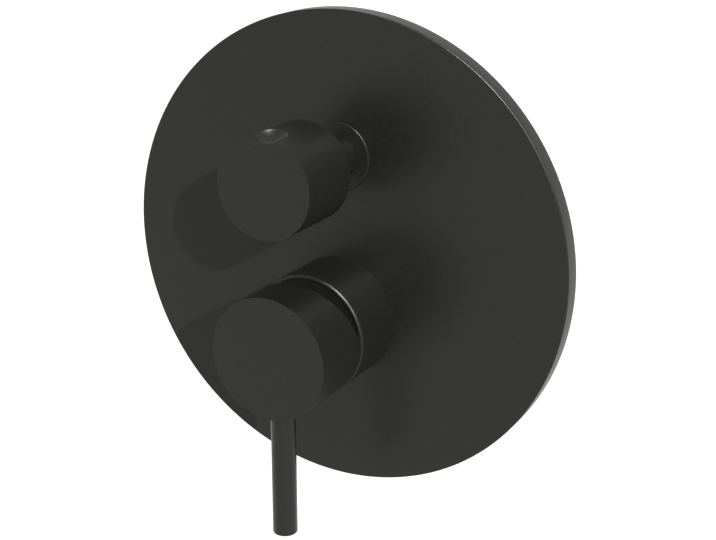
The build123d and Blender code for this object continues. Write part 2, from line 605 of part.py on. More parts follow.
# Diverter spindle: flatted shaft, driver with a stop sector and a tongue for the moving disc.
shaft = rod_y(SHAFT_R, SHAFT_FRONT, DRIVER_FRONT + PAST, 0, KNOB_Z)
shaft = chamfer(circles(shaft, SHAFT_FRONT, SHAFT_R), SHAFT_TIP)
shaft -= block(
    -SHAFT_R - PAST, SHAFT_R + PAST, SHAFT_FRONT - PAST, RECESS_END - SHAFT_FLAT_END,
    FLAT_Z - SHAFT_R, FLAT_Z,
)
shaft -= ring_y(SHAFT_SEAL_Y, SHAFT_SEAL_Y + SHAFT_SEAL, SHAFT_SEAL_R, SHAFT_R + PAST, KNOB_Z)
shaft -= ring_y(CLIP_Y - CLIP_THICK - 2 * FIT, CLIP_Y + 2 * FIT, CLIP_GROOVE_R, SHAFT_R + PAST, KNOB_Z)
shaft += rod_y(DRIVER_HUB_R, DRIVER_FRONT, DRIVER_BACK, 0, KNOB_Z)
stop_edge = STOP_HALF_DEG + STOP_SLACK_DEG
shaft += sector(DRIVER_R, DRIVER_FRONT, DRIVER_BACK, stop_edge, TURN_DEG - stop_edge)
tongue_end = DIV_DISC_FRONT + TONGUE_DEEP
shaft += block(-TONGUE_X, TONGUE_X, DRIVER_FRONT + PAST, tongue_end, KNOB_Z - TONGUE_Z, KNOB_Z + TONGUE_Z)
save("diverter_spindle", shaft)

# Sealing ring in the spindle's groove.
shaft_seal = ring_y(
    SHAFT_SEAL_Y + FIT, SHAFT_SEAL_Y + SHAFT_SEAL - FIT, SHAFT_SEAL_R + FIT, SHAFT_R + SEAL_SQUEEZE, KNOB_Z,
)
save("spindle_seal", shaft_seal)

# Spring clip in front of the bonnet, keeps the spindle in.
clip = ring_y(CLIP_Y - CLIP_THICK, CLIP_Y, CLIP_GROOVE_R + FIT, CLIP_R, KNOB_Z)
clip -= block(
    -CLIP_MOUTH, CLIP_MOUTH, CLIP_Y - CLIP_THICK - PAST, CLIP_Y + PAST, KNOB_Z - CLIP_R - PAST, KNOB_Z,
)
save("spindle_clip", clip)

# Diverter discs: the moving one opens the upper or the lower port of the fixed one.
tongue_x, tongue_z = TONGUE_X + TONGUE_ROOM, TONGUE_Z + TONGUE_ROOM
div_moving = rod_y(DIV_DISC_R, DIV_DISC_FRONT, DIV_DISC_SPLIT, 0, KNOB_Z)
div_moving -= block(
    -tongue_x, tongue_x, DIV_DISC_FRONT - PAST, tongue_end + TONGUE_ROOM,
    KNOB_Z - tongue_z, KNOB_Z + tongue_z,
)
div_moving -= rod_y(DIV_PORT_R, DIV_DISC_FRONT - PAST, DIV_DISC_SPLIT + PAST, 0, KNOB_Z + DIV_PORT)
save("diverter_moving_disc", div_moving)


def outlet_cuts(r, y0, y1):
    """Upper and lower ways out of the diverter."""
    return rod_y(r, y0, y1, 0, KNOB_Z + DIV_PORT) + rod_y(r, y0, y1, 0, KNOB_Z - DIV_PORT)


div_fixed = rod_y(CAGE_HOLE_R - FIT, DIV_DISC_SPLIT, CAGE_END, 0, KNOB_Z)
save("diverter_fixed_disc", div_fixed - outlet_cuts(DIV_PORT_R, DIV_DISC_SPLIT - PAST, CAGE_END + PAST))

# Rubber gasket between the diverter cage and the chamber floor.
div_gasket = rod_y(CAGE_R, CAGE_END, DIV_FLOOR, 0, KNOB_Z)
save("diverter_gasket", div_gasket - outlet_cuts(DIV_PORT_R, CAGE_END - PAST, DIV_FLOOR + PAST))

# Body: one brass casting, cup and neck for the cartridge, cup for the diverter, tubes to the
# left, right, up and down that end in spigots, a spine with the water ways and two fixing lugs.
tube_x = INLET_X - SOCKET_LENGTH
tube_top = TOP_Z - SOCKET_LENGTH
tube_bottom = BOTTOM_Z + SOCKET_LENGTH
body = rod_y(CUP_R, CUP_FRONT, CUP_BACK, 0, LEVER_Z)
body += rod_x(TUBE_R, -tube_x, tube_x, PORT_Y, LEVER_Z)
body += rod_z(TUBE_R, tube_bottom, LEVER_Z, 0, PORT_Y)
body += rod_z(TUBE_R, KNOB_Z, tube_top, 0, PORT_Y)
body += rod_x(SPIGOT_TUBE_R, -tube_x - SPIGOT_TUBE, tube_x + SPIGOT_TUBE, PORT_Y, LEVER_Z)
body += rod_z(SPIGOT_TUBE_R, tube_bottom - SPIGOT_TUBE, LEVER_Z, 0, PORT_Y)
body += rod_z(SPIGOT_TUBE_R, KNOB_Z, tube_top + SPIGOT_TUBE, 0, PORT_Y)
cup = rod_y(DIV_CUP_R, BONNET_SEAT, DIV_CUP_BACK, 0, KNOB_Z)
body += fillet(circles(cup, DIV_CUP_BACK, DIV_CUP_R), SPINE_ROUND)
spine = block(-SPINE_HALF, SPINE_HALF, SPINE_FRONT, BODY_BACK, LEVER_Z - SPINE_DROP, KNOB_Z)
body += fillet(spine.faces().sort_by(Axis.Y)[-1].edges(), SPINE_ROUND)
lugs = block(-LUG_X, LUG_X, LUG_FRONT, BODY_BACK, LUG_Z - LUG_R, LUG_Z + LUG_R)
for side in (-1, 1):
    lugs += rod_y(LUG_R, LUG_FRONT, BODY_BACK, side * LUG_X, LUG_Z)
body += fillet(lugs.faces().sort_by(Axis.Y)[0].edges(), LUG_EDGE)
body += rod_y(NECK_R, NECK_FRONT, NECK_ROOT, 0, LEVER_Z)
body -= turned([
    (NECK_FRONT - PAST, 0), (NECK_FRONT - PAST, NUT_THREAD_R + FIT),
    (CART_SHOULDER + PAST, NUT_THREAD_R + FIT), (CART_SHOULDER + PAST, CHAMBER_R),
    (CHAMBER_FLOOR, CHAMBER_R), (CHAMBER_FLOOR, 0),
], LEVER_Z)
seat_end = BONNET_SEAT + SEAT_RING + 2 * FIT
body -= turned([
    (BONNET_SEAT - PAST, 0), (BONNET_SEAT - PAST, SEAT_RING_R + FIT), (seat_end, SEAT_RING_R + FIT),
    (seat_end, DIV_CHAMBER_R), (DIV_FLOOR, DIV_CHAMBER_R), (DIV_FLOOR, 0),
], KNOB_Z)
for side in (-1, 1):
    body -= rod_x(INLET_BORE_R, side * INLET_X, side * INLET_BORE_END, PORT_Y, LEVER_Z)
    body -= rod_y(DUCT_R, CHAMBER_FLOOR - PAST, PORT_Y, side * PORT_X, LEVER_Z - PORT_DROP)
    peg_end = CART_BASE + PEG_LENGTH + GAP
    body -= rod_y(PEG_R + PEG_ROOM, CHAMBER_FLOOR - PAST, peg_end, side * PEG_X, LEVER_Z)
    body -= rod_y(LUG_HOLE_R, LUG_FRONT - PAST, BODY_BACK + PAST, side * LUG_X, LUG_Z)
mix_z = LEVER_Z + MIX_RISE
body -= rod_y(DUCT_R, CHAMBER_FLOOR - PAST, MIX_DUCT_Y, 0, mix_z)
body -= rod_z(MIX_DUCT_R, mix_z - PORT_R, MIX_DUCT_TOP, 0, MIX_DUCT_Y)
body -= outlet_cuts(OUTLET_R, DIV_FLOOR - PAST, BACK_DUCT_Y)
body -= rod_z(OUTLET_R, KNOB_Z + DIV_PORT, TOP_Z, 0, UP_DUCT_Y)
outlet_z = LEVER_Z - SPINE_DROP + PAST
body -= rod_z(INLET_BORE_R, BOTTOM_Z, outlet_z + OUTLET_MEET, 0, PORT_Y)
body -= rod_z(BACK_DUCT_R, outlet_z, KNOB_Z - DIV_PORT, 0, BACK_DUCT_Y)
save("valve_body", body)


def port_socket(direction):
    """Hexagon socket whose mouth lies at the origin and opens along direction."""
    inward = tuple(-d for d in direction)
    nut = hex_bar(SOCKET_HEX, (0, 0, 0), inward, SOCKET_LENGTH)
    facing = Plane((0, 0, 0), z_dir=inward)
    cone = revolve(
        Plane.XZ * make_face(Polyline(
            (0, 0), (SOCKET_HEX / 2 - SOCKET_EDGE / 2, 0), (SOCKET_HEX, SOCKET_HEX / 3),
            (SOCKET_HEX, SOCKET_LENGTH), (0, SOCKET_LENGTH), close=True,
        )),
        axis=Axis.Z, revolution_arc=360,
    )
    nut &= facing.location * cone
    thread = Pos(0, 0, THREAD_LENGTH / 2) * Cylinder(THREAD_R, THREAD_LENGTH)
    seat = Pos(0, 0, THREAD_LENGTH + SPIGOT_TUBE / 2) * Cylinder(SPIGOT_TUBE_R + FIT, SPIGOT_TUBE)
    return nut - facing.location * thread - facing.location * seat


# Port sockets on the body's spigots: hot from the left, cold from the right, outlets up and down.
save("hot_socket", Pos(-INLET_X, PORT_Y, LEVER_Z) * port_socket((-1, 0, 0)))
save("cold_socket", Pos(INLET_X, PORT_Y, LEVER_Z) * port_socket((1, 0, 0)))
save("upper_socket", Pos(0, PORT_Y, TOP_Z) * port_socket((0, 0, 1)))
save("lower_socket", Pos(0, PORT_Y, BOTTOM_Z) * port_socket((0, 0, -1)))
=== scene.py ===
import math

import bpy
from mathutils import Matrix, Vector


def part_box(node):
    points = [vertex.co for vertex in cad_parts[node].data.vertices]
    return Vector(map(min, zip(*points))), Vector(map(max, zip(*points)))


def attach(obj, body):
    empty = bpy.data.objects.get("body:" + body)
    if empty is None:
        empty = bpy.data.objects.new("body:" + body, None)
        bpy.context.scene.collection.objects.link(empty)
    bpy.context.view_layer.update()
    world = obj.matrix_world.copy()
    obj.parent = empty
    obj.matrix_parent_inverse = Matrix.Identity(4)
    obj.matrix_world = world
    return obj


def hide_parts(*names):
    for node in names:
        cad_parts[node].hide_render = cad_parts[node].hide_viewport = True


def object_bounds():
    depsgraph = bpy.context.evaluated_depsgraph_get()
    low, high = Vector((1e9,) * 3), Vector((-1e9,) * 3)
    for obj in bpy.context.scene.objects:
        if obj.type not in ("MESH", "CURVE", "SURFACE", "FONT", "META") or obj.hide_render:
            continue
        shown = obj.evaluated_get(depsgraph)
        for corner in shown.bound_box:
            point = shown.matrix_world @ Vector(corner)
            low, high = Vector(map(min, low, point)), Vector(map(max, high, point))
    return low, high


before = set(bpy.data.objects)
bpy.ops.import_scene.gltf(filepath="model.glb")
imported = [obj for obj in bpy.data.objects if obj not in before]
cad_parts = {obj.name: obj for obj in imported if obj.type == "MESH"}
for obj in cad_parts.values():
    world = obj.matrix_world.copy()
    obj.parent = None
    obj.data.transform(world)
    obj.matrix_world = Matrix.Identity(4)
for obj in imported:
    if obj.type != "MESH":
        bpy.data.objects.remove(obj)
cad_low, cad_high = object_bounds()

# Valve body: one brass casting behind the wall, with cups for the cartridge and the diverter.
# Sand cast, then shot-blasted: a dull, finely pitted skin with soft corners.
# Two lugs hold it in the wall pocket.
GRAIN_COARSE_DETAIL = 4.0
GRAIN_FINE_DETAIL = 2.0
GRAIN_FINE_RATIO = 5.0
GRAIN_FINE_SHARE = 0.4
GRAIN_MASK_FROM = 0.32
GRAIN_MASK_TO = 0.68


def grain_group():
    """Speckle of a given scale: a mask for colour and gloss, and a height for bumps."""
    group = bpy.data.node_groups.new("grain", "ShaderNodeTree")
    group.interface.new_socket("Scale", in_out="INPUT", socket_type="NodeSocketFloat")
    group.interface.new_socket("Mask", in_out="OUTPUT", socket_type="NodeSocketFloat")
    group.interface.new_socket("Height", in_out="OUTPUT", socket_type="NodeSocketFloat")
    add, link = group.nodes.new, group.links.new
    given, out = add("NodeGroupInput"), add("NodeGroupOutput")
    place = add("ShaderNodeTexCoord")
    coarse, fine = add("ShaderNodeTexNoise"), add("ShaderNodeTexNoise")
    coarse.inputs["Detail"].default_value = GRAIN_COARSE_DETAIL
    fine.inputs["Detail"].default_value = GRAIN_FINE_DETAIL
    finer = add("ShaderNodeMath")
    finer.operation = "MULTIPLY"
    finer.inputs[1].default_value = GRAIN_FINE_RATIO
    spread = add("ShaderNodeMapRange")
    spread.inputs["From Min"].default_value = GRAIN_MASK_FROM
    spread.inputs["From Max"].default_value = GRAIN_MASK_TO
    both = add("ShaderNodeMath")
    both.operation = "MULTIPLY_ADD"
    both.inputs[1].default_value = GRAIN_FINE_SHARE
    link(place.outputs["Object"], coarse.inputs["Vector"])
    link(place.outputs["Object"], fine.inputs["Vector"])
    link(given.outputs["Scale"], coarse.inputs["Scale"])
    link(given.outputs["Scale"], finer.inputs[0])
    link(finer.outputs[0], fine.inputs["Scale"])
    link(coarse.outputs["Fac"], spread.inputs["Value"])
    link(fine.outputs["Fac"], both.inputs[0])
    link(coarse.outputs["Fac"], both.inputs[2])
    link(spread.outputs["Result"], out.inputs["Mask"])
    link(both.outputs[0], out.inputs["Height"])
    return group


GRAIN = grain_group()


def finish_material(name, dark, light, rough, scale, bump, metallic=0.0, specular=0.5):
    """Grained finish: the grain mixes two colours and two gloss values, and raises bumps."""
    material = bpy.data.materials.new(name)
    material.use_nodes = True
    add, link = material.node_tree.nodes.new, material.node_tree.links.new
    shader = material.node_tree.nodes["Principled BSDF"]
    shader.inputs["Metallic"].default_value = metallic
    shader.inputs["Specular IOR Level"].default_value = specular
    grain = add("ShaderNodeGroup")
    grain.node_tree = GRAIN
    grain.inputs["Scale"].default_value = scale
    tint = add("ShaderNodeMix")
    tint.data_type = "RGBA"
    tint.inputs["A"].default_value = (*dark, 1.0)
    tint.inputs["B"].default_value = (*light, 1.0)
    gloss = add("ShaderNodeMapRange")
    gloss.inputs["To Min"].default_value, gloss.inputs["To Max"].default_value = rough
    relief = add("ShaderNodeBump")
    relief.inputs["Distance"].default_value = bump
    link(grain.outputs["Mask"], tint.inputs["Factor"])
    link(grain.outputs["Mask"], gloss.inputs["Value"])
    link(grain.outputs["Height"], relief.inputs["Height"])
    link(tint.outputs["Result"], shader.inputs["Base Color"])
    link(gloss.outputs["Result"], shader.inputs["Roughness"])
    link(relief.outputs["Normal"], shader.inputs["Normal"])
    return material


cast_brass = finish_material(
    "cast_brass", dark=(0.42, 0.29, 0.12), light=(0.62, 0.46, 0.21), rough=(0.42, 0.58),
    scale=700.0, bump=0.00035, metallic=1.0,
)
SEAM_GAP = 0.000002
CAST_VOXEL = 0.00075
CAST_SMOOTHING = 6
CAST_SOFTNESS = 0.5
CAST_CREASE = math.radians(50.0)
INSET = 0.00002


def pick(mesh_object):
    """Make one object the only selected and active one."""
    bpy.ops.object.select_all(action="DESELECT")
    mesh_object.select_set(True)
    bpy.context.view_layer.objects.active = mesh_object


def merged_copy(node, name):
    """Copy of a CAD node's mesh with its seams closed and its stored normals dropped."""
    piece = bpy.data.objects.new(name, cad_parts[node].data.copy())
    piece.data.name = name
    bpy.context.scene.collection.objects.link(piece)
    pick(piece)
    bpy.ops.object.mode_set(mode="EDIT")
    bpy.ops.mesh.select_all(action="SELECT")
    bpy.ops.mesh.remove_doubles(threshold=SEAM_GAP)
    bpy.ops.mesh.customdata_custom_splitnormals_clear()
    bpy.ops.object.mode_set(mode="OBJECT")
    return piece


def install(piece, material, node, body):
    """Give a piece its material and put it in a CAD node's place."""
    piece.data.materials.clear()
    piece.data.materials.append(material)
    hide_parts(node)
    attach(piece, body)


cast_body = merged_copy("valve_body", "cast_body")
skin = cast_body.modifiers.new("skin", "REMESH")
skin.mode = "VOXEL"
skin.voxel_size = CAST_VOXEL
bpy.ops.object.modifier_apply(modifier=skin.name)
fillets = cast_body.modifiers.new("fillets", "SMOOTH")
fillets.factor = CAST_SOFTNESS
fillets.iterations = CAST_SMOOTHING
bpy.ops.object.modifier_apply(modifier=fillets.name)
cast_back = max(vertex.co.y for vertex in cast_body.data.vertices)
bpy.ops.object.mode_set(mode="EDIT")
bpy.ops.mesh.select_all(action="SELECT")
bpy.ops.transform.translate(value=(0.0, cad_high.y - INSET - cast_back, 0.0))
bpy.ops.object.mode_set(mode="OBJECT")
bpy.ops.object.shade_smooth_by_angle(angle=CAST_CREASE)
install(cast_body, cast_brass, "valve_body", "valve")

# Port sockets: four brass hexagons with a female half-inch pipe thread.
# Turned from hexagon bar: bright flats, a countersunk mouth and a cut thread.
# They are screwed on the body's spigots.
turned_brass = finish_material(
    "turned_brass", dark=(0.60, 0.44, 0.19), light=(0.72, 0.55, 0.27), rough=(0.20, 0.32),
    scale=1500.0, bump=0.00003, metallic=1.0,
)
THREAD_PITCH = 0.001814
THREAD_TURNS = 6
THREAD_STEPS = 40
THREAD_CREST_R = 0.0093
THREAD_ROOT_R = 0.0104
THREAD_LENGTH = 0.012
RIDGE_CORNERS = 4
RIDGE_BASE = 0.0016
RIDGE_TOP_SHARE = 0.14
RIDGE_SINK = 0.0001
MOUTH_R = 0.0109
MOUTH_DEPTH = 0.0014
BORE_SIDES = 96
SOCKET_CREASE = math.radians(25.0)
SOCKETS = {
    "hot_socket": Vector((-1.0, 0.0, 0.0)),
    "cold_socket": Vector((1.0, 0.0, 0.0)),
    "upper_socket": Vector((0.0, 0.0, 1.0)),
    "lower_socket": Vector((0.0, 0.0, -1.0)),
}


def settle(mesh_object, place, facing):
    """Turn an upright object's Z to a direction, move it, and keep both in its mesh."""
    pick(mesh_object)
    mesh_object.location = place
    mesh_object.rotation_euler = facing.to_track_quat("Z", "Y").to_euler()
    bpy.ops.object.transform_apply(location=True, rotation=True, scale=True)


def cut(piece, tool, operation="DIFFERENCE"):
    """Take a tool's solid out of a piece, or add it, and drop the tool."""
    pick(piece)
    step = piece.modifiers.new("cut", "BOOLEAN")
    step.operation = operation
    step.solver = "EXACT"
    step.object = tool
    bpy.ops.object.modifier_apply(modifier=step.name)
    bpy.data.objects.remove(tool)


def rod(radius, start, end, sides=BORE_SIDES):
    """Cylinder from one point to another."""
    start, end = Vector(start), Vector(end)
    bpy.ops.object.select_all(action="DESELECT")
    bpy.ops.mesh.primitive_cylinder_add(vertices=sides, radius=radius, depth=(end - start).length)
    piece = bpy.context.object
    settle(piece, (start + end) / 2, end - start)
    return piece


def thread_ridge():
    """Helical ridge about Z, from the thread's bottom up to its mouth at z = 0."""
    bpy.ops.object.select_all(action="DESELECT")
    bpy.ops.mesh.primitive_plane_add(size=1.0)
    ridge = bpy.context.object
    depth = THREAD_ROOT_R + RIDGE_SINK - THREAD_CREST_R
    bpy.ops.object.mode_set(mode="EDIT")
    bpy.ops.mesh.select_all(action="SELECT")
    bpy.ops.transform.rotate(value=math.pi / 2, orient_axis="X", center_override=(0.0, 0.0, 0.0))
    bpy.ops.transform.resize(value=(depth, 1.0, RIDGE_BASE))
    bpy.ops.mesh.delete(type="ONLY_FACE")
    bpy.ops.mesh.select_all(action="DESELECT")
    bpy.ops.object.mode_set(mode="OBJECT")
    for vertex in ridge.data.vertices:
        vertex.select = vertex.co.x < 0.0
    bpy.ops.object.mode_set(mode="EDIT")
    bpy.ops.transform.resize(value=(1.0, 1.0, RIDGE_TOP_SHARE))
    bpy.ops.mesh.select_all(action="SELECT")
    start = RIDGE_BASE / 2 - THREAD_LENGTH
    bpy.ops.transform.translate(value=(THREAD_CREST_R + depth / 2, 0.0, start))
    bpy.ops.object.mode_set(mode="OBJECT")
    helix = ridge.modifiers.new("helix", "SCREW")
    helix.axis = "Z"
    helix.angle = 2 * math.pi
    helix.screw_offset = THREAD_PITCH
    helix.iterations = THREAD_TURNS
    helix.steps = helix.render_steps = THREAD_STEPS
    bpy.ops.object.modifier_apply(modifier=helix.name)
    bpy.ops.object.mode_set(mode="EDIT")
    bpy.ops.mesh.select_all(action="SELECT")
    bpy.ops.mesh.fill_holes(sides=RIDGE_CORNERS)
    bpy.ops.mesh.normals_make_consistent(inside=False)
    bpy.ops.object.mode_set(mode="OBJECT")
    return ridge


for node, facing in SOCKETS.items():
    low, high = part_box(node)
    mouth = (low + high) / 2 + facing * abs((high - low).dot(facing)) / 2
    socket = merged_copy(node, node.replace("socket", "threaded_socket"))
    thread_bottom = mouth + facing * (INSET - THREAD_LENGTH)
    cut(socket, rod(THREAD_ROOT_R, thread_bottom, mouth + facing * INSET))
    bpy.ops.object.select_all(action="DESELECT")
    bpy.ops.mesh.primitive_cone_add(
        vertices=BORE_SIDES, depth=2 * MOUTH_DEPTH,
        radius1=MOUTH_R - MOUTH_DEPTH, radius2=MOUTH_R + MOUTH_DEPTH,
    )
    countersink = bpy.context.object
    settle(countersink, mouth, facing)
    cut(socket, countersink)
    ridge = thread_ridge()
    settle(ridge, mouth, facing)
    pick(socket)
    ridge.select_set(True)
    bpy.ops.object.join()
    bpy.ops.object.shade_smooth_by_angle(angle=SOCKET_CREASE)
    install(socket, turned_brass, node, "valve")

# Lever cartridge: glass-filled plastic housing with acetal base, rotor and carrier, moulded.
# Lapped ceramic discs mix and shut the water; a rubber gasket seals the ports.
# It is pressed into the body's chamber and clamped by a turned brass ring nut.
dark_plastic = finish_material(
    "dark_plastic", dark=(0.055, 0.055, 0.06), light=(0.085, 0.085, 0.09), rough=(0.42, 0.55),
    scale=1100.0, bump=0.00005,
)
grey_plastic = finish_material(
    "grey_plastic", dark=(0.44, 0.46, 0.48), light=(0.55, 0.57, 0.59), rough=(0.34, 0.46),
    scale=900.0, bump=0.00003,
)
ceramic = finish_material(
    "ceramic", dark=(0.84, 0.83, 0.78), light=(0.93, 0.92, 0.88), rough=(0.12, 0.22),
    scale=2000.0, bump=0.00001,
)
rubber = finish_material(
    "rubber", dark=(0.014, 0.014, 0.014), light=(0.026, 0.026, 0.026), rough=(0.55, 0.72),
    scale=1300.0, bump=0.00006,
)
steel = finish_material(
    "steel", dark=(0.48, 0.48, 0.47), light=(0.62, 0.62, 0.61), rough=(0.22, 0.36),
    scale=1800.0, bump=0.00002, metallic=1.0,
)


def dress(material, *nodes):
    """Put a material on CAD nodes."""
    for node in nodes:
        mesh_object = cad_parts[node]
        if not mesh_object.material_slots:
            mesh_object.data.materials.append(material)
        for slot in mesh_object.material_slots:
            slot.material = material


dress(dark_plastic, "cartridge_housing")
dress(grey_plastic, "cartridge_base", "cartridge_rotor", "disc_carrier")
dress(ceramic, "moving_disc", "fixed_disc")
dress(rubber, "port_gasket")
dress(turned_brass, "lever_spindle", "cartridge_nut")
dress(steel, "spindle_pin")

# Diverter headwork: turned brass bonnet and spindle, lapped ceramic discs and rubber seals.
# The bonnet screws into the body's upper cup; a spring steel clip holds the spindle in it.
dress(turned_brass, "diverter_bonnet", "diverter_spindle")
dress(ceramic, "diverter_moving_disc", "diverter_fixed_disc")
dress(rubber, "bonnet_seal", "spindle_seal", "diverter_gasket")
dress(steel, "spindle_clip")

# Wall plate: brass sheet pressed to a shallow dish, with holes for the lever and the diverter.
# Satin black coating; a foam cord behind its rim seals it on the tiles.
# The lever sleeve's foot clamps it to the wall.
black_coat = finish_material(
    "black_coat", dark=(0.0122, 0.0124, 0.0110), light=(0.0150, 0.0153, 0.0138), rough=(0.30, 0.37),
    scale=1300.0, bump=0.00001, specular=0.21,
)
foam = finish_material(
    "foam", dark=(0.030, 0.030, 0.031), light=(0.065, 0.065, 0.066), rough=(0.75, 0.9),
    scale=1600.0, bump=0.0004,
)
PLATE_SIDES = 320
PLATE_WALL = 0.0015
PLATE_ROUND = 0.0005
PLATE_SUPPORT = 0.0004
ROUND_STEPS = 6
FACES_BACK = 0.9
FACES_FRONT = -0.99999
LEVER_HOLE_R = 0.0216
KNOB_HOLE_R = 0.0106
CREASE = math.radians(30.0)
NEAR = 0.00001
PAST = 0.001
plate_low, plate_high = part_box("face_plate")
plate_r = (plate_high.x - plate_low.x) / 2
plate_depth = plate_high.y - plate_low.y
behind_front = plate_low.y + NEAR
sleeve_low, sleeve_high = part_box("lever_sleeve")
lever_height = (sleeve_low.z + sleeve_high.z) / 2
collar_low, collar_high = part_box("diverter_collar")
knob_height = (collar_low.z + collar_high.z) / 2


def edit_where(mesh_object, kind, test):
    """Go into edit mode with the faces or edges of a mesh selected that pass a test."""
    pick(mesh_object)
    bpy.ops.object.mode_set(mode="EDIT")
    bpy.ops.mesh.select_mode(type=kind)
    bpy.ops.mesh.select_all(action="DESELECT")
    bpy.ops.object.mode_set(mode="OBJECT")
    mesh = mesh_object.data
    for element in mesh.polygons if kind == "FACE" else mesh.edges:
        element.select = test(element)
    bpy.ops.object.mode_set(mode="EDIT")


plate = rod(plate_r, (0.0, plate_high.y, 0.0), (0.0, plate_low.y, 0.0), PLATE_SIDES)
plate.name = plate.data.name = "pressed_plate"
edit_where(plate, "FACE", lambda face: face.normal.y > FACES_BACK)
bpy.ops.mesh.inset(thickness=PLATE_WALL)
bpy.ops.mesh.extrude_region_move(TRANSFORM_OT_translate={"value": (0.0, PLATE_WALL - plate_depth, 0.0)})
bpy.ops.object.mode_set(mode="OBJECT")
in_front = [vertex.co.y < behind_front for vertex in plate.data.vertices]
edit_where(plate, "EDGE", lambda edge: all(in_front[k] for k in edge.vertices))
bpy.ops.mesh.bevel(offset=PLATE_ROUND, segments=ROUND_STEPS, affect="EDGES")
bpy.ops.object.mode_set(mode="OBJECT")
edit_where(plate, "FACE", lambda face: face.normal.y < FACES_FRONT and face.center.y < behind_front)
bpy.ops.mesh.inset(thickness=PLATE_SUPPORT)
bpy.ops.object.mode_set(mode="OBJECT")
for height, hole_r in ((lever_height, LEVER_HOLE_R), (knob_height, KNOB_HOLE_R)):
    cut(plate, rod(hole_r, (0.0, plate_low.y - PAST, height), (0.0, plate_high.y + PAST, height)))
bpy.ops.object.shade_smooth_by_angle(angle=CREASE)
install(plate, black_coat, "face_plate", "valve")
dress(foam, "plate_seal")

# Lever sleeve: tube turned from brass and coated satin black, which hides the body's neck.
# It screws on that neck, and a web inside its front leaves room for the spindle.
# A rubber ring in a groove under its foot seals it on the plate.
SLEEVE_WALL = 0.0016
SLEEVE_ROUND = 0.0012
SLEEVE_INNER_ROUND = 0.0003
SLEEVE_BORE_R = 0.02095
SLEEVE_THREAD = 0.00755
WEB_SETBACK = 0.0007
WEB_WALL = 0.0012
WEB_HOLE_R = 0.0146
GROOVE_INNER_R = 0.02185
GROOVE_OUTER_R = 0.02285
GROOVE_DEPTH = 0.0008
LATHE_STEPS = 256
FULL_WEIGHT = 100


def turned(name, outline, height):
    """Closed outline of (depth, radius) points, turned about a front-to-back axis at a height."""
    bpy.ops.object.select_all(action="DESELECT")
    bpy.ops.mesh.primitive_plane_add(size=1.0)
    piece = bpy.context.object
    piece.name = piece.data.name = name
    bpy.ops.object.mode_set(mode="EDIT")
    bpy.ops.mesh.select_mode(type="VERT")
    bpy.ops.mesh.select_all(action="SELECT")
    bpy.ops.mesh.merge(type="CENTER")
    bpy.ops.transform.translate(value=(0.0, outline[0][0], height + outline[0][1]))
    for here, there in zip(outline, outline[1:] + outline[:1]):
        bpy.ops.mesh.extrude_region_move(
            TRANSFORM_OT_translate={"value": (0.0, there[0] - here[0], there[1] - here[1])},
        )
    bpy.ops.mesh.select_all(action="SELECT")
    bpy.ops.mesh.remove_doubles(threshold=NEAR)
    bpy.ops.mesh.spin(
        steps=LATHE_STEPS, angle=2 * math.pi, center=(0.0, 0.0, height), axis=(0.0, 1.0, 0.0),
    )
    bpy.ops.mesh.select_all(action="SELECT")
    bpy.ops.mesh.remove_doubles(threshold=NEAR)
    bpy.ops.mesh.delete_loose()
    bpy.ops.mesh.select_all(action="SELECT")
    bpy.ops.mesh.normals_make_consistent(inside=False)
    bpy.ops.object.mode_set(mode="OBJECT")
    return piece


def round_rim(piece, height, depth, radius, size):
    """Round one circular edge of a turned piece."""
    on_rim = [
        abs(vertex.co.y - depth) < NEAR
        and abs(math.hypot(vertex.co.x, vertex.co.z - height) - radius) < NEAR
        for vertex in piece.data.vertices
    ]
    edit_where(piece, "EDGE", lambda edge: all(on_rim[k] for k in edge.vertices))
    bpy.ops.mesh.bevel(offset=size, segments=ROUND_STEPS, affect="EDGES")
    bpy.ops.object.mode_set(mode="OBJECT")


def install_coated(piece, node, body):
    """Shade a piece so that its flats stay flat, coat it and put it in a CAD node's place."""
    pick(piece)
    bpy.ops.object.shade_smooth_by_angle(angle=CREASE)
    flats = piece.modifiers.new("flats", "WEIGHTED_NORMAL")
    flats.keep_sharp = True
    flats.weight = FULL_WEIGHT
    bpy.ops.object.modifier_apply(modifier=flats.name)
    install(piece, black_coat, node, body)


sleeve_r = (sleeve_high.x - sleeve_low.x) / 2
sleeve_hole_r = sleeve_r - SLEEVE_WALL
sleeve_rim, sleeve_foot = sleeve_low.y, sleeve_high.y
web_front = sleeve_rim + WEB_SETBACK
web_back = web_front + WEB_WALL
groove_floor = sleeve_foot - GROOVE_DEPTH
thread_end = sleeve_foot - SLEEVE_THREAD
sleeve = turned("turned_sleeve", [
    (sleeve_foot, SLEEVE_BORE_R), (sleeve_foot, GROOVE_INNER_R),
    (groove_floor, GROOVE_INNER_R), (groove_floor, GROOVE_OUTER_R),
    (sleeve_foot, GROOVE_OUTER_R), (sleeve_foot, sleeve_r),
    (sleeve_rim, sleeve_r), (sleeve_rim, sleeve_hole_r),
    (web_front, sleeve_hole_r), (web_front, WEB_HOLE_R),
    (web_back, WEB_HOLE_R), (web_back, sleeve_hole_r),
    (thread_end, sleeve_hole_r), (thread_end, SLEEVE_BORE_R),
], lever_height)
round_rim(sleeve, lever_height, sleeve_rim, sleeve_r, SLEEVE_ROUND)
round_rim(sleeve, lever_height, sleeve_rim, sleeve_hole_r, SLEEVE_INNER_ROUND)
install_coated(sleeve, "lever_sleeve", "valve")
dress(rubber, "sleeve_seal")

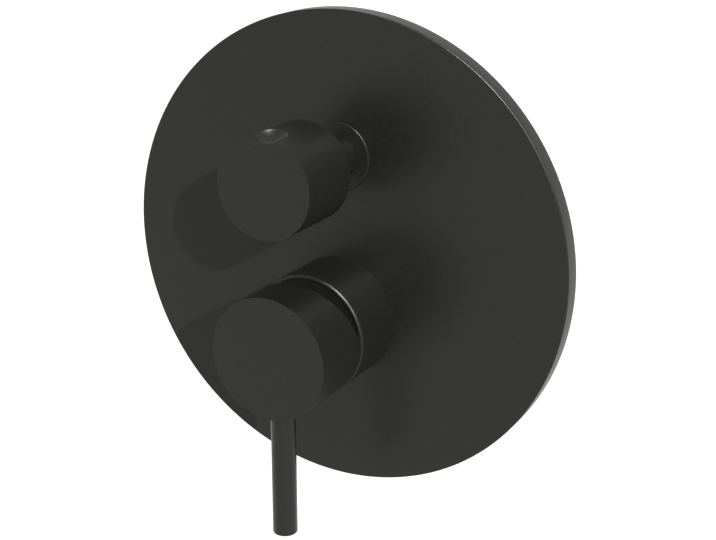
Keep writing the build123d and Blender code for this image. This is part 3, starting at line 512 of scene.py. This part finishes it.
# Lever cap and pin: hollow cast cap with a central boss and a rib, coated satin black.
# Its upper rear is cut back on a slant so that it can tip; a turned pin screws into the rib.
# A set screw from below holds the cap on the square spindle.
CAP_WALL = 0.0022
CAP_FACE = 0.003
CAP_RELIEF = math.radians(21.5)
BOSS_R = 0.0085
BOSS_SETBACK = 0.0054
RIB_HALF = 0.005
RIB_SETBACK = 0.0014
SPINDLE_HALF = 0.00405
SPINDLE_DEPTH = 0.0083
PIN_SETBACK = 0.0103
PIN_SEAT_R = 0.0047
PIN_SEAT_DEPTH = 0.003
STUD_R = 0.00305
STUD_DEPTH = 0.0095
SCREW_R = 0.00205
CAP_SCREW_DEPTH = 0.0042


def box(corner, opposite):
    """Upright box between two corners."""
    corner, opposite = Vector(corner), Vector(opposite)
    bpy.ops.object.select_all(action="DESELECT")
    bpy.ops.mesh.primitive_cube_add(
        size=1.0, location=(corner + opposite) / 2, scale=opposite - corner,
    )
    piece = bpy.context.object
    bpy.ops.object.transform_apply(location=True, rotation=True, scale=True)
    return piece


cap_low, cap_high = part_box("lever_handle")
cap_r = (cap_high.x - cap_low.x) / 2
cap_hole_r = cap_r - CAP_WALL
cap_front, cap_back = cap_low.y, cap_high.y
cap_floor = cap_front + CAP_FACE
boss_back = cap_back - BOSS_SETBACK
cap = turned("cast_cap", [
    (cap_front, 0.0), (cap_front, cap_r), (cap_back, cap_r), (cap_back, cap_hole_r),
    (cap_floor, cap_hole_r), (cap_floor, BOSS_R), (boss_back, BOSS_R), (boss_back, 0.0),
], lever_height)
rib = box(
    (-RIB_HALF, cap_floor - PAST, cap_low.z + CAP_WALL / 2),
    (RIB_HALF, boss_back - RIB_SETBACK, lever_height - BOSS_R / 2),
)
cut(cap, rib, "UNION")
wedge = box((-2 * cap_r, -cap_r, -cap_r), (2 * cap_r, cap_r, cap_r))
upward = Vector((0.0, -math.sin(CAP_RELIEF), math.cos(CAP_RELIEF)))
backward = Vector((0.0, math.cos(CAP_RELIEF), math.sin(CAP_RELIEF)))
settle(wedge, Vector((0.0, cap_back, lever_height)) + (upward + backward) * cap_r, upward)
cut(cap, wedge)
spindle_seat = box(
    (-SPINDLE_HALF, boss_back - SPINDLE_DEPTH, lever_height - SPINDLE_HALF),
    (SPINDLE_HALF, boss_back + PAST, lever_height + SPINDLE_HALF),
)
cut(cap, spindle_seat)
pin_y = cap_front + PIN_SETBACK
pin_top = cap_low.z + PIN_SEAT_DEPTH
cut(cap, rod(PIN_SEAT_R, (0.0, pin_y, cap_low.z - PAST), (0.0, pin_y, pin_top)))
cut(cap, rod(STUD_R, (0.0, pin_y, pin_top - PAST), (0.0, pin_y, pin_top + STUD_DEPTH)))
cap_screw_y = boss_back - CAP_SCREW_DEPTH
cut(cap, rod(SCREW_R, (0.0, cap_screw_y, cap_low.z - PAST), (0.0, cap_screw_y, lever_height)))
install_coated(cap, "lever_handle", "lever")
dress(black_coat, "lever_pin")
dress(steel, "handle_grub_screw")

# Diverter collar and stem sleeve: both turned from brass and coated satin black.
# The collar's spigot sits in the plate's upper hole; a rubber ring in it grips the stem sleeve.
# The stem sleeve screws on the bonnet's neck and hides the spindle.
COLLAR_ROUND = 0.00035
COLLAR_FLANGE = 0.0012
COLLAR_BORE_R = 0.00805
SPIGOT_R = 0.0104
GRIP_FRONT = 0.0021
GRIP_BACK = 0.0037
GRIP_R = 0.0093
collar_r = (collar_high.x - collar_low.x) / 2
collar_front, collar_back = collar_low.y, collar_high.y
collar = turned("turned_collar", [
    (collar_back, COLLAR_BORE_R), (collar_back, SPIGOT_R),
    (collar_front + COLLAR_FLANGE, SPIGOT_R), (collar_front + COLLAR_FLANGE, collar_r),
    (collar_front, collar_r), (collar_front, COLLAR_BORE_R),
    (collar_front + GRIP_FRONT, COLLAR_BORE_R), (collar_front + GRIP_FRONT, GRIP_R),
    (collar_front + GRIP_BACK, GRIP_R), (collar_front + GRIP_BACK, COLLAR_BORE_R),
], knob_height)
round_rim(collar, knob_height, collar_front, collar_r, COLLAR_ROUND)
install_coated(collar, "diverter_collar", "valve")
dress(black_coat, "stem_sleeve")
dress(rubber, "collar_seal")

# Diverter knob: short cylinder turned from brass bar and coated satin black.
# A ball-ended cutter leaves a finger scoop in the top of its front rim.
# A set screw from below bears on the flat of the spindle in its bore.
SCOOP_R = 0.0085
SCOOP_DEPTH = 0.0041
SCOOP_RUN = 0.0045
SCOOP_STEPS = 24
RECESS_R = 0.00845
RECESS_DEPTH = 0.003
SHAFT_R = 0.00405
SHAFT_DEPTH = 0.0149
SHAFT_FLAT = 0.00305
SHAFT_FLAT_END = 0.0015
KNOB_SCREW_DEPTH = 0.0076
knob_low, knob_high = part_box("diverter_knob")
knob_r = (knob_high.x - knob_low.x) / 2
knob_front, knob_back = knob_low.y, knob_high.y
recess_end = knob_back - RECESS_DEPTH
knob = turned("turned_knob", [
    (knob_front, 0.0), (knob_front, knob_r), (knob_back, knob_r), (knob_back, RECESS_R),
    (recess_end, RECESS_R), (recess_end, 0.0),
], knob_height)
scoop_end = knob_front + SCOOP_RUN
ball_angles = [math.pi / 2 * k / SCOOP_STEPS for k in range(SCOOP_STEPS)]
ball_end = [(scoop_end + SCOOP_R * math.sin(a), SCOOP_R * math.cos(a)) for a in ball_angles]
scoop = turned("scoop", [
    (knob_front - PAST, 0.0), (knob_front - PAST, SCOOP_R), *ball_end, (scoop_end + SCOOP_R, 0.0),
], knob_height + knob_r - SCOOP_DEPTH + SCOOP_R)
cut(knob, scoop)
shaft_end = recess_end - SHAFT_DEPTH
shaft = rod(SHAFT_R, (0.0, shaft_end, knob_height), (0.0, recess_end + PAST, knob_height))
shaft_flat = knob_height - SHAFT_FLAT
below_flat = box(
    (-2 * SHAFT_R, shaft_end - PAST, knob_height - 2 * SHAFT_R),
    (2 * SHAFT_R, recess_end - SHAFT_FLAT_END, shaft_flat),
)
cut(shaft, below_flat)
cut(knob, shaft)
knob_screw_y = recess_end - KNOB_SCREW_DEPTH
cut(knob, rod(SCREW_R, (0.0, knob_screw_y, knob_low.z - PAST), (0.0, knob_screw_y, shaft_flat + PAST)))
install_coated(knob, "diverter_knob", "diverter")
dress(steel, "knob_grub_screw")

# Studio: a pale matt floor well below the mixer, in a white room.
# Camera, glossy and transmission rays see both as white, while the light that falls
# on the mixer stays at a plain level and the floor keeps its shadow.
FLOOR_HEIGHT = -0.30
FLOOR_SIZE = 24.0
FLOOR_COLOUR = (0.62, 0.62, 0.62, 1.0)
FLOOR_ROUGHNESS = 0.9
FLOOR_LIFT = 0.69
WHITE = (1.0, 1.0, 1.0, 1.0)
ROOM_LIGHT = 0.45
ROOM_SEEN = 1.0


def background_rays(tree):
    """Value that is 1 for the rays that see the background: camera, glossy and transmission."""
    path = tree.nodes.new("ShaderNodeLightPath")
    either, seen = tree.nodes.new("ShaderNodeMath"), tree.nodes.new("ShaderNodeMath")
    either.operation = seen.operation = "MAXIMUM"
    tree.links.new(path.outputs["Is Camera Ray"], either.inputs[0])
    tree.links.new(path.outputs["Is Glossy Ray"], either.inputs[1])
    tree.links.new(either.outputs[0], seen.inputs[0])
    tree.links.new(path.outputs["Is Transmission Ray"], seen.inputs[1])
    return seen.outputs[0]


bpy.ops.object.select_all(action="DESELECT")
bpy.ops.mesh.primitive_plane_add(size=FLOOR_SIZE, location=(0.0, 0.0, FLOOR_HEIGHT))
floor = bpy.context.object
floor.name = "floor"
floor_paint = bpy.data.materials.new("floor_paint")
floor_paint.use_nodes = True
floor_tree = floor_paint.node_tree
matt = floor_tree.nodes["Principled BSDF"]
matt.inputs["Base Color"].default_value = FLOOR_COLOUR
matt.inputs["Roughness"].default_value = FLOOR_ROUGHNESS
glow = floor_tree.nodes.new("ShaderNodeEmission")
glow.inputs["Color"].default_value = WHITE
lift = floor_tree.nodes.new("ShaderNodeMath")
lift.operation = "MULTIPLY"
lift.inputs[1].default_value = FLOOR_LIFT
lit = floor_tree.nodes.new("ShaderNodeAddShader")
floor_tree.links.new(background_rays(floor_tree), lift.inputs[0])
floor_tree.links.new(lift.outputs[0], glow.inputs["Strength"])
floor_tree.links.new(matt.outputs["BSDF"], lit.inputs[0])
floor_tree.links.new(glow.outputs["Emission"], lit.inputs[1])
floor_tree.links.new(lit.outputs["Shader"], floor_tree.nodes["Material Output"].inputs["Surface"])
floor.data.materials.append(floor_paint)

room = bpy.data.worlds.new("white_room")
bpy.context.scene.world = room
room.use_nodes = True
room_tree = room.node_tree
sky = room_tree.nodes["Background"]
sky.inputs["Color"].default_value = WHITE
level = room_tree.nodes.new("ShaderNodeMapRange")
level.inputs["To Min"].default_value = ROOM_LIGHT
level.inputs["To Max"].default_value = ROOM_SEEN
room_tree.links.new(background_rays(room_tree), level.inputs["Value"])
room_tree.links.new(level.outputs["Result"], sky.inputs["Strength"])

# Lamps: a low, warm sun from the right throws the long shadows on the plate.
# A small softbox in front and above draws the lines of light on the rounded rims.
LAMP_DISTANCE = 0.9
SUN_AZIMUTH = math.radians(47.9)
SUN_HEIGHT = math.radians(24.1)
SUN_ENERGY = 3.0
SUN_COLOUR = (1.0, 0.985, 0.83)
SUN_ANGLE = math.radians(1.0)
SOFTBOX_AZIMUTH = math.radians(31.0)
SOFTBOX_HEIGHT = math.radians(45.0)
SOFTBOX_SIZE = 0.28
SOFTBOX_ENERGY = 30.0


def bearing(azimuth, height):
    """Direction from the mixer, by the angle to the right of its front and the angle upward."""
    reach = math.cos(height)
    return Vector((math.sin(azimuth) * reach, -math.cos(azimuth) * reach, math.sin(height)))


def lamp(kind, name, away, energy):
    """Lamp in a direction from the mixer, aimed at it."""
    bpy.ops.object.light_add(type=kind, location=away * LAMP_DISTANCE)
    light = bpy.context.object
    light.name = name
    light.rotation_euler = away.to_track_quat("Z", "Y").to_euler()
    light.data.energy = energy
    return light


sun = lamp("SUN", "low_sun", bearing(SUN_AZIMUTH, SUN_HEIGHT), SUN_ENERGY)
sun.data.color = SUN_COLOUR
sun.data.angle = SUN_ANGLE
softbox = lamp("AREA", "softbox", bearing(SOFTBOX_AZIMUTH, SOFTBOX_HEIGHT), SOFTBOX_ENERGY)
softbox.data.shape = "DISK"
softbox.data.size = SOFTBOX_SIZE
softbox.visible_diffuse = False

# Camera: long lens, to the right of the mixer and a little above it.
# Bearing, distance and lens were fitted to the outlines in the photo.
CAMERA_AZIMUTH = math.radians(28.642)
CAMERA_HEIGHT = math.radians(18.569)
CAMERA_DISTANCE = 0.54433
CAMERA_AIM = Vector((0.00406, 0.0, -0.00832))
LENS_MM = 70.803
SENSOR_MM = 36.0
CLIP_START = 0.01
CLIP_END = 60.0
camera_data = bpy.data.cameras.new("camera")
camera_data.sensor_fit = "HORIZONTAL"
camera_data.sensor_width = SENSOR_MM
camera_data.lens = LENS_MM
camera_data.clip_start = CLIP_START
camera_data.clip_end = CLIP_END
camera = bpy.data.objects.new("camera", camera_data)
bpy.context.scene.collection.objects.link(camera)
camera_away = bearing(CAMERA_AZIMUTH, CAMERA_HEIGHT)
camera.location = CAMERA_AIM + camera_away * CAMERA_DISTANCE
camera.rotation_euler = camera_away.to_track_quat("Z", "Y").to_euler()
bpy.context.scene.camera = camera
bpy.context.scene.view_settings.view_transform = "Standard"
